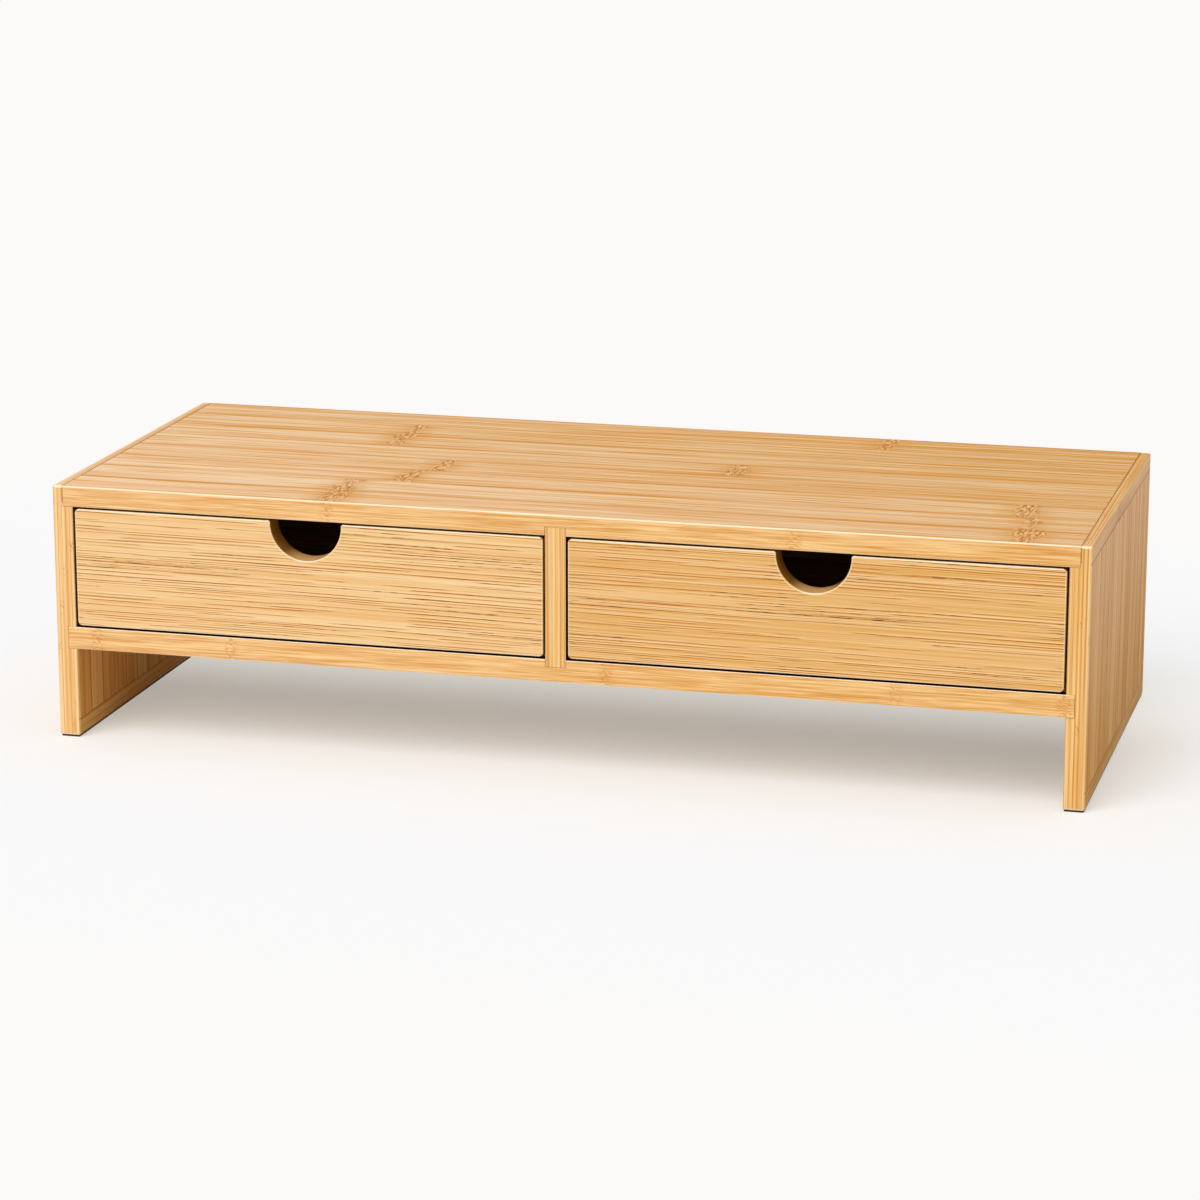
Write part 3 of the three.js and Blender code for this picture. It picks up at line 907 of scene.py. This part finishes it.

# Each drawer's pale and deep colour, and the streaks, which drift downwards along the front.
# The left front is paler: partly its own tone, partly painted sheen.
front_shades = {
    "left_drawer": (linear(237, 204, 152), linear(222, 166, 88)),
    "right_drawer": (linear(232, 191, 133), linear(210, 150, 62)),
}
front_tone = 0.62
front_streaks = [
    (330, 6.5, 0.4, 2.0, 0.5, 0.9),
    (220, 1.6, 5.3, 2.0, 0.6, 1.1),
    (160, 0.55, 2.3, 1.0, 0.5, 1.6),
]
front_drift = 0.012
front_sway = 2.0

# The fine lines. Each set has a spacing in millimetres, a seed and the length of its runs. Along
# a run the lines swell and break into dashes, mostly in the clusters.
front_line_sets = [(1.9, 0.2, 70), (2.9, 9.6, 110), (4.3, 3.4, 160)]
crowding = 0.6
run_from = (0.0, 0.05)
swell_length = 50
swell_from = (-0.05, 0.15)
least_swell = 0.6
dash_length = 10
dash_from = (0.04, 0.12)
least_dash = 0.04
cluster_from = (0.02, 0.11)
fine_line_half_width = 0.34
fine_line = linear(180, 102, 8)
fine_pale_half_width = 0.38
fine_pale_offset = 0.7
fine_pale_strength = 0.4
fine_pale = linear(246, 220, 172)
dash_strength = 0.85
dash_colour = linear(108, 80, 34)

# The painted highlight on the eased rim of the face, and the painted shade on the sawn edges
# and in the notch, less where the notch floor faces up: reaches in millimetres, and how far a surface
# faces along Y or Z.
front_rim_reach = (1.0, 0.7)
front_rim_highlight_strength = 0.5
front_rim_highlight = linear(250, 222, 168)
sawn_facing = (0.7, 0.4)
sawn_shade_deep = linear(164, 112, 52)
sawn_shade_pale = linear(204, 154, 90)
notch_reach = (2.4, 1.6)
notch_behind_face = (0.5, 1.0)
notch_shade_deep = linear(112, 72, 20)
notch_shade_pale = linear(160, 110, 40)
notch_floor_facing = (0.75, 1.0)
notch_floor_shade = linear(214, 166, 104)


def lined(grain, colour):
    """Fine brown and pale lines over a colour. In loose clusters olive-black dashes break them."""
    crowd = grain.noise(length=190, width=7.0, seed=7.7, detail=1.0) * crowding
    cluster = grain.noise(length=85, width=7.5, seed=12.5, detail=1.0).rise(*cluster_from)
    for spacing, seed, length in front_line_sets:
        lines = Strips(grain, spacing, seed, line_waver)
        runs, swells, breaks = (
            lines.grain.noise(length=size, width=even_across, seed=start, detail=1.0)
            for size, start in ((length, seed), (swell_length, seed + 60), (dash_length, seed + 20))
        )
        run = (runs + crowd).rise(*run_from)
        swell = least_swell + (1 - least_swell) * swells.rise(*swell_from)
        dash = breaks.rise(*dash_from) * (least_dash + (1 - least_dash) * cluster)
        pale = lines.line(fine_pale_half_width, fine_pale_offset) * run * fine_pale_strength
        brown = lines.line(fine_line_half_width) * run
        colour = (brown * swell).tint(pale.tint(colour, fine_pale), fine_line)
        colour = (brown * dash * dash_strength).tint(colour, dash_colour)
    return colour


def side_pressed_bamboo(name, low, high, pale, deep):
    """Strips on edge, which show as many fine brown and pale lines that drift down to the right.
    The front lies between two corners. Its eased rim gets a painted highlight, its sawn edges
    and notch painted shade."""
    material, tree, output = new_material(name)
    level = grain_of(tree, "XZY")
    sway = level.noise(length=300, width=40, seed=1.3, detail=1.0) * front_sway
    drift = level.along * front_drift + sway
    grain = Grain(level.along, level.across + drift, level.through)
    tone = grain.streaks(front_tone, front_streaks)
    colour = lined(grain, with_painted_sheen(tone.tint(deep, pale)))

    half_width = (high.x - low.x) / 2 * millimetres
    half_height = (high.z - low.z) / 2 * millimetres
    aside = level.along - (low.x + high.x) / 2 * millimetres
    above_middle = level.across - (low.z + high.z) / 2 * millimetres
    above_lips = level.across - (high.z - lip_radius) * millimetres
    from_centre = (aside.math("POWER", 2.0) + above_lips.math("POWER", 2.0)).math("SQRT")
    from_notch = from_centre - notch_radius * millimetres
    from_end = half_width - abs(aside)
    from_edge = half_height - abs(above_middle)
    from_rim = from_end.math("MINIMUM", from_edge).math("MINIMUM", from_notch)
    # Painted highlight along the eased rim and round the notch.
    colour = (from_rim.rise(*front_rim_reach) * front_rim_highlight_strength).tint(colour, front_rim_highlight)

    # Painted shade on the sawn edges and on the notch's wall, lighter where its floor faces up.
    by_notch = from_notch.rise(*notch_reach)
    sawn = facing(tree, "Y").rise(*sawn_facing) * (1 - by_notch)
    colour = sawn.tint(colour, tone.tint(sawn_shade_deep, sawn_shade_pale))
    end_grain = 0.5 + grain.noise(length=3.0, width=1.0, seed=31.0, roughness=0.7) * 1.6
    wall = end_grain.tint(notch_shade_deep, notch_shade_pale)
    wall = facing(tree, "Z").rise(*notch_floor_facing).tint(wall, notch_floor_shade)
    behind_face = (level.through - low.y * millimetres).rise(*notch_behind_face)
    colour = (by_notch * behind_face).tint(colour, wall)
    return lacquered(material, output, colour, tone, False)


def front_outline(low, high):
    """A rounded rectangle whose upper edge dips into a half circle between two rounded lips."""
    quarter = math.pi / 2
    middle = (low.x + high.x) / 2
    height = high.z - lip_radius
    lip = notch_radius + lip_radius
    corners = (low.x, low.z), (high.x, high.z)
    rectangle = rounded_rectangle(*corners, front_corner, front_corner, corner_steps)
    before_notch = 3 * (corner_steps + 1)
    return np.concatenate([
        rectangle[:before_notch],
        arc((middle + lip, height), lip_radius, quarter, 2 * quarter, lip_steps),
        arc((middle, height), notch_radius, 0, -2 * quarter, notch_steps)[1:-1],
        arc((middle - lip, height), lip_radius, 0, quarter, lip_steps),
        rectangle[before_notch:],
    ])


for drawer, (pale, deep) in front_shades.items():
    low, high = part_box(f"{drawer}_front")
    outline = front_outline(low, high)
    front = slab(f"{drawer}_front_finished", outline, [0, 2, 1], low.y, high.y, front_round)
    bottom_low, bottom_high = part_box(f"{drawer}_bottom")
    for wall, beyond in (("left_wall", -cut_overrun), ("right_wall", cut_overrun)):
        wall_low, wall_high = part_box(f"{drawer}_{wall}")
        inner = (wall_high.x if beyond < 0 else wall_low.x) - math.copysign(glue_line, beyond)
        outer = (low.x if beyond < 0 else high.x) + beyond
        cut(
            front,
            (inner, high.y - lap_depth, low.z - cut_overrun),
            (outer, high.y + cut_overrun, high.z + cut_overrun),
        )
    cut(
        front,
        (bottom_low.x - glue_line, high.y - groove_depth, bottom_low.z - glue_line),
        (bottom_high.x + glue_line, high.y + cut_overrun, bottom_high.z + glue_line),
    )
    front_bamboo = side_pressed_bamboo(f"{drawer}_front_bamboo", low, high, pale, deep)
    finish(front, f"{drawer}_front", drawer, front_bamboo)


# Drawer boxes
# Two side walls, a back wall and a thin bottom, of plain bamboo board. They keep the shapes
# that they were cut to and get the finish of the sheet.
wall_bamboo = plain_strips("wall_bamboo", "YZX", width=12.0, start=1.0, shades=box_shades)
for drawer in front_shades:
    for part in ("left_wall", "right_wall"):
        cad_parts[f"{drawer}_{part}"].data.materials.clear()
        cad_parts[f"{drawer}_{part}"].data.materials.append(wall_bamboo)
    for part in ("back_wall", "bottom"):
        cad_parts[f"{drawer}_{part}"].data.materials.clear()
        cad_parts[f"{drawer}_{part}"].data.materials.append(sheet_bamboo)


# Screws and pins
# Zinc-plated steel, a little cloudy. They hold the drawers' walls, backs and bottoms, and keep
# the shapes of their solids.
cloud_scale = 900.0
cloud_detail = 3.0
plate_dark = linear(176, 176, 172)
plate_light = linear(205, 204, 198)
plate_lightens = (0.3, 0.7)
plate_roughness = 0.28
plate_haze = 0.15

steel_material, zinc, steel_output = new_material("zinc_steel")
spot = zinc.node("ShaderNodeTexCoord", {}, {}, "Object")
cloud = zinc.node("ShaderNodeTexNoise", {}, {"Vector": spot, "Scale": cloud_scale, "Detail": cloud_detail})
plate = zinc.node("ShaderNodeBsdfPrincipled", {}, {
    "Base Color": cloud.rise(*plate_lightens).tint(plate_dark, plate_light),
    "Metallic": 1.0,
    "Roughness": plate_roughness + plate_haze * cloud,
})
zinc.tree.links.new(plate.socket, steel_output.inputs["Surface"])
for name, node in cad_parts.items():
    if "_screw_" in name or "_pin_" in name:
        node.data.materials.clear()
        node.data.materials.append(steel_material)
